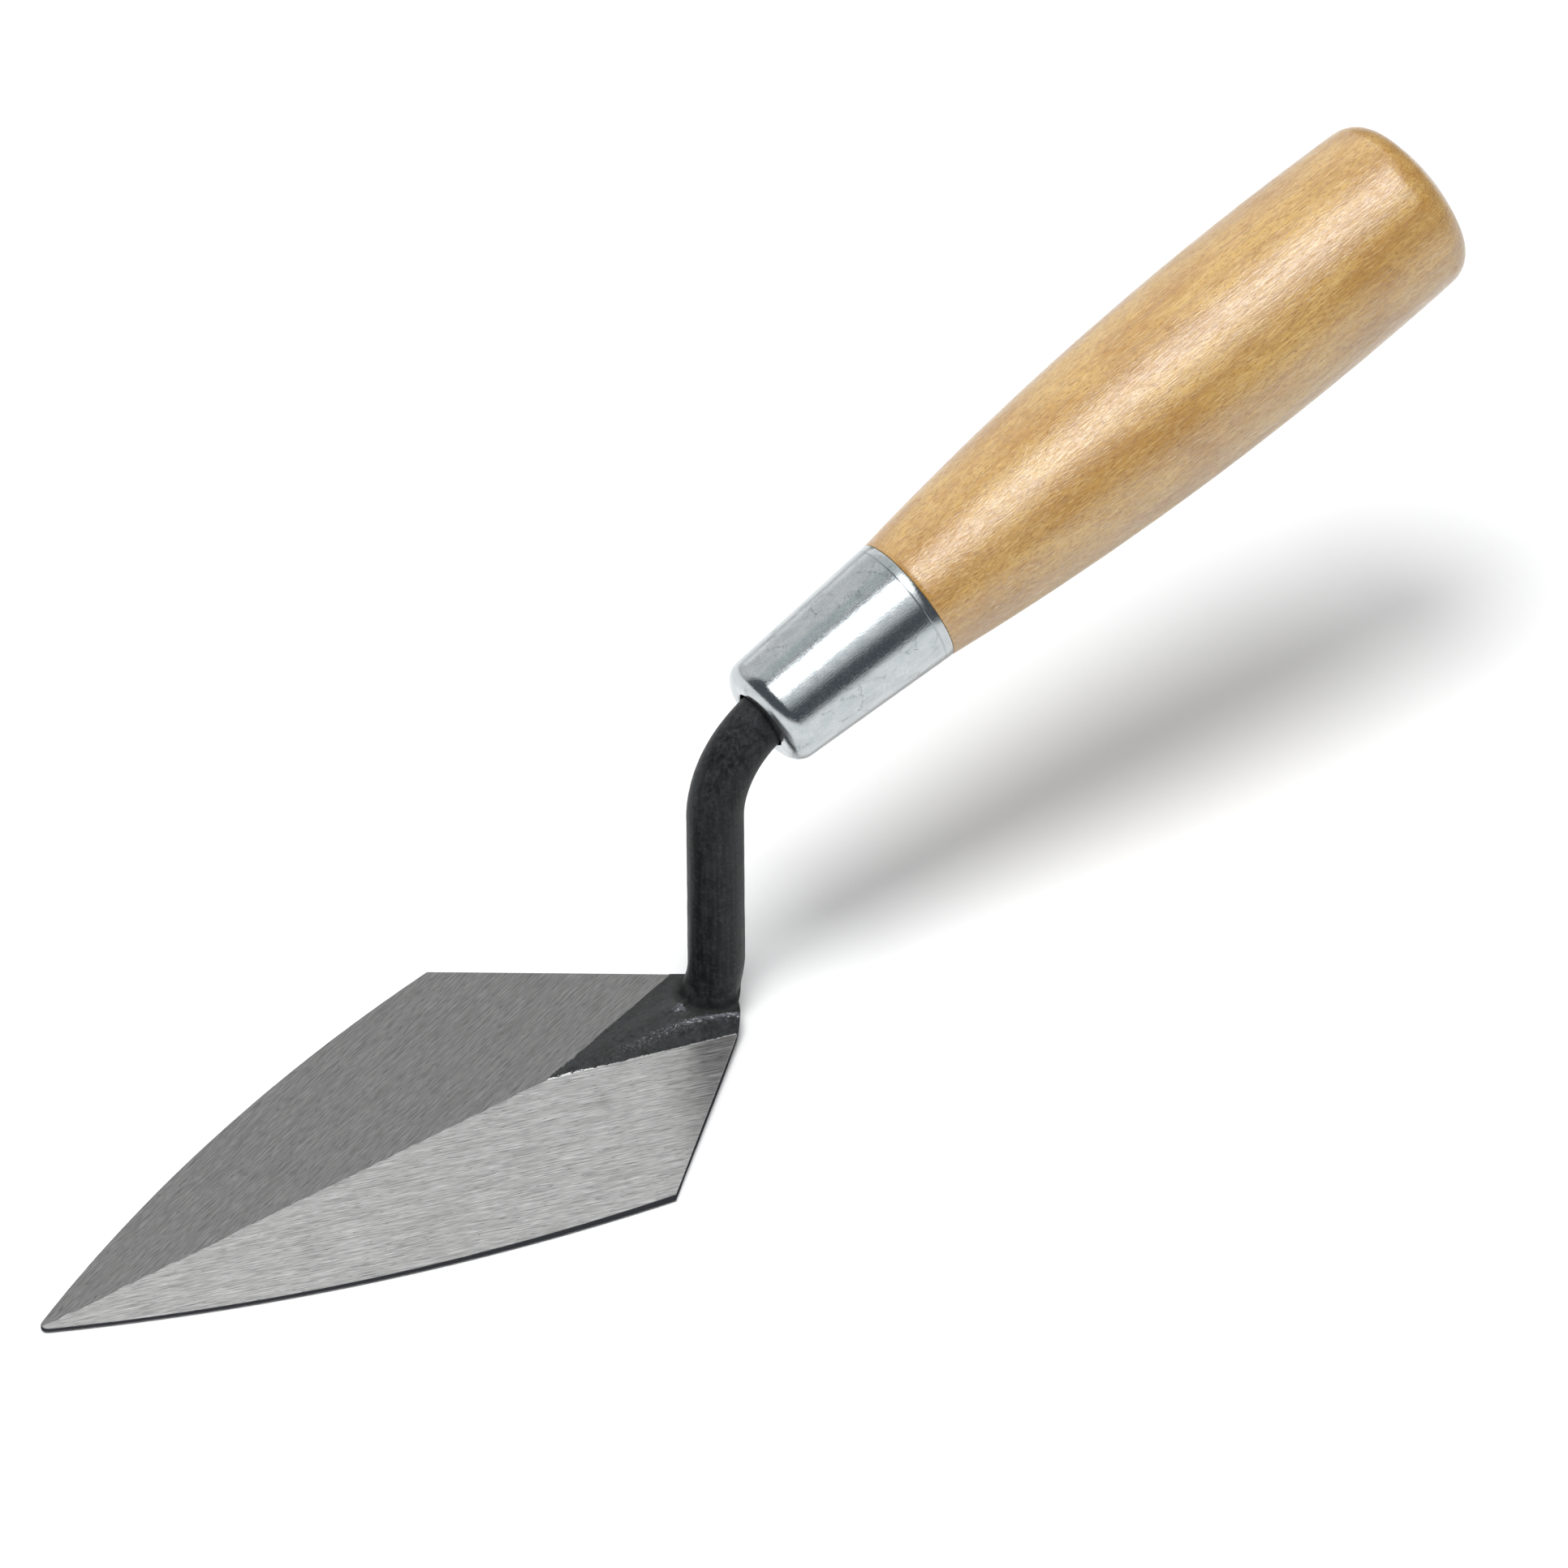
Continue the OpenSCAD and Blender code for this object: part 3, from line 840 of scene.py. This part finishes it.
def lacquered_hardwood():
    """Pale close-grained wood under a thin gloss lacquer that has sunk into the grain."""
    material, s = new_shader("lacquered_hardwood")
    grain = s.attribute("grain", "Vector")
    figure = s.noise(grain, (16, 5, 5), 3.0, 0.6, distortion=0.5)
    bands = s.noise(grain, (60, 2.0, 2.0), 3.0, 0.55)
    lines = s.noise(grain, (16, 0.3, 0.3), 2.0, 0.6)
    flecks = s.noise(grain, (1.0, 0.20, 0.20), 2.0, 0.65)
    fine = s.noise(grain, (2.4, 0.22, 0.22), 2.0, 0.6, shift=(5, 9, 2))
    specks = s.ramp(s.noise(grain, (0.8, 0.45, 0.45), 1.0), 0.79, 0.82)
    colour = s.layers(
        s.mix(s.ramp(figure, 0.32, 0.68), WOOD_DARK, WOOD_PALE),
        (s.ramp(bands, 0.40, 0.70, 0.0, 0.5), WOOD_BAND),
        (s.ramp(lines, 0.45, 0.75, 0.0, 0.5), WOOD_LINE),
        (s.ramp(flecks, 0.48, 0.66, 0.0, 0.75), WOOD_FLECK),
        (s.ramp(fine, 0.52, 0.68, 0.0, 0.5), WOOD_FINE),
        (s.times(specks, 0.6), WOOD_SPECK),
    )
    sheen = s.noise(grain, (3.5, 0.16, 0.16), 2.0, 0.6, shift=(8, 2, 6))
    height = s.scaled(flecks, 0.6, s.times(fine, 0.4))
    s.surface({
        "Base Color": colour,
        "Roughness": s.ramp(flecks, 0.3, 0.7, 0.45, 0.6),
        "Specular IOR Level": 0.3,
        "Coat Weight": s.ramp(sheen, 0.40, 0.62, 0.95, 0.45),
        "Coat IOR": LACQUER_IOR,
        "Coat Roughness": s.ramp(sheen, 0.35, 0.65, 0.06, 0.16),
        "Coat Normal": s.bump(height, 0.09),
        "Normal": s.bump(height, 0.03),
    })
    return material


def pale_floor():
    """Near white where the tool lies, falling to grey outside the pool of light."""
    material, s = new_shader("pale_floor")
    place = s.object_mm()
    tone = s.mix(s.noise(place, (300, 300, 300), 2.0), grey(0.86), grey(0.88))
    pool = s.ramp(s.length(place), 1000, 500)
    colour = s.mix(pool, grey(0.25), tone)
    s.surface({"Base Color": colour, "Roughness": 0.9, "Specular IOR Level": 0.1})
    return material


# ---------------------------------------------------------------- studio
FLOOR_HALF = 4000
FLOOR_Z = -0.3  # just clear of the blade's underside

LAMP_DIAMETER = 1.05  # the lamp's sizes are in metres and watts
LAMP_POWER = 52
LAMP_DISTANCE = 3
LAMP_TOWARD = Vector((0.22, 0.16, 0.97))

FOCAL_LENGTH = 464.8
SENSOR_WIDTH = 36
EYE = Vector((1348.9, 1875.4, 1949.7)) * MM
LOOK = Vector((-0.45315, -0.62417, -0.63644))
ROLL = math.radians(0.38)


DARK_ROOM = (0.108, 0.118, 0.134, 1)


def studio_floor():
    corners = [(-1, -1), (1, -1), (1, 1), (-1, 1)]
    verts = [[x * FLOOR_HALF * MM, y * FLOOR_HALF * MM, FLOOR_Z * MM] for x, y in corners]
    mesh = bpy.data.meshes.new("floor")
    mesh.from_pydata(verts, [], [(0, 1, 2, 3)])
    mesh.materials.append(pale_floor())
    floor = bpy.data.objects.new("floor", mesh)
    bpy.context.scene.collection.objects.link(floor)


def softbox(s, along_x, along_y):
    """A broad overhead box on the camera's side, bright inside, with a dim spill lower down."""
    width = s.times(s.ramp(along_x, -0.25, -0.05), s.ramp(along_x, 0.75, 0.55))
    bright = s.times(s.ramp(along_y, 0.68, 0.48), 3.1)
    spill = s.times(s.ramp(along_y, 2.1, 0.6), 0.95)
    inner_edge = s.ramp(along_y, -0.05, 0.04)
    return s.times(s.times(s.plus(bright, spill), inner_edge), width)


def dark_side(s, ray, along_x, along_y):
    """1 in the directions beyond the tool, as the camera sees it, where the room is dark."""
    x, y, _ = s.split(ray)
    to_camera = s.plus(s.times(x, 0.587), s.times(y, 0.809))
    to_front = s.plus(s.times(x, 0.8), s.times(y, 0.6))
    from_heel = s.scaled(along_y, -0.35, along_x)
    dark = s.times(s.ramp(to_camera, 0.25, -0.10), s.ramp(to_front, 0.2, 0.0))
    return s.times(dark, s.ramp(from_heel, -0.60, -0.36))


def grey_wall(s, up, along_x, along_y):
    """Pale grey, a little brighter overhead and towards the handle's end, with a dim bluish gap
    beyond the softbox."""
    gap = s.ramp(s.math("ABSOLUTE", s.plus(along_y, 0.44)), 0.22, 0.10)
    wall = s.scaled(gap, -0.20, s.scaled(up, 0.1, 0.76))
    wall = s.plus(wall, s.ramp(along_x, -0.25, -0.55, 0.0, 0.36))
    red = s.scaled(gap, -0.06, wall)
    return s.node("ShaderNodeCombineColor", {0: red, 1: wall, 2: wall}).outputs[0]


def studio_surroundings():
    """What the metal and the lacquer reflect: a softbox overhead, a dark room beyond the tool and
    a grey wall elsewhere. along_x and along_y are where a direction meets a ceiling one unit up."""
    world = bpy.data.worlds.new("studio")
    bpy.context.scene.world = world
    world.use_nodes = True
    s = Shader(world.node_tree)
    ray = s.node("ShaderNodeTexCoord").outputs["Generated"]
    x, y, z = s.split(ray)
    up = s.math("MAXIMUM", z, 0.02)
    along_x, along_y = s.math("DIVIDE", x, up), s.math("DIVIDE", y, up)
    box = softbox(s, along_x, along_y)
    dark = dark_side(s, ray, along_x, along_y)
    room = s.mix(dark, DARK_ROOM, grey_wall(s, up, along_x, along_y))
    total = s.vector("ADD", room, s.join(box, box, box))
    back = s.node("ShaderNodeBackground", {"Color": total, "Strength": 1.0})
    out = s.node("ShaderNodeOutputWorld")
    s.tree.links.new(back.outputs[0], out.inputs["Surface"])


def key_light():
    """A soft lamp nearly overhead, which casts the one visible shadow and isn't reflected."""
    data = bpy.data.lights.new("key", "AREA")
    data.shape = "DISK"
    data.size = LAMP_DIAMETER
    data.energy = LAMP_POWER
    lamp = bpy.data.objects.new("key", data)
    bpy.context.scene.collection.objects.link(lamp)
    lamp.visible_glossy = False
    lamp.location = LAMP_DISTANCE * LAMP_TOWARD
    lamp.rotation_euler = LAMP_TOWARD.to_track_quat("Z", "Y").to_euler()


def camera():
    """Three metres away on a long lens, looking down at the tool's near side from the front."""
    data = bpy.data.cameras.new("camera")
    data.lens = FOCAL_LENGTH
    data.sensor_width = SENSOR_WIDTH
    data.clip_end = 20
    shot = bpy.data.objects.new("camera", data)
    bpy.context.scene.collection.objects.link(shot)
    level = LOOK.to_track_quat("-Z", "Y").to_matrix().to_4x4()
    shot.matrix_world = Matrix.Translation(EYE) @ Matrix.Rotation(ROLL, 4, LOOK) @ level
    bpy.context.scene.camera = shot


# ---------------------------------------------------------------- build
def finish_piece(obj, material, node):
    obj.data.materials.append(material)
    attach(obj, "root")
    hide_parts(node)


finish_piece(forging(), forged_steel(), "forged_blade")
finish_piece(ferrule(), zinc_plate(), "ferrule")
finish_piece(grip(), lacquered_hardwood(), "handle")
studio_floor()
studio_surroundings()
key_light()
camera()
bpy.context.scene.view_settings.view_transform = "Standard"
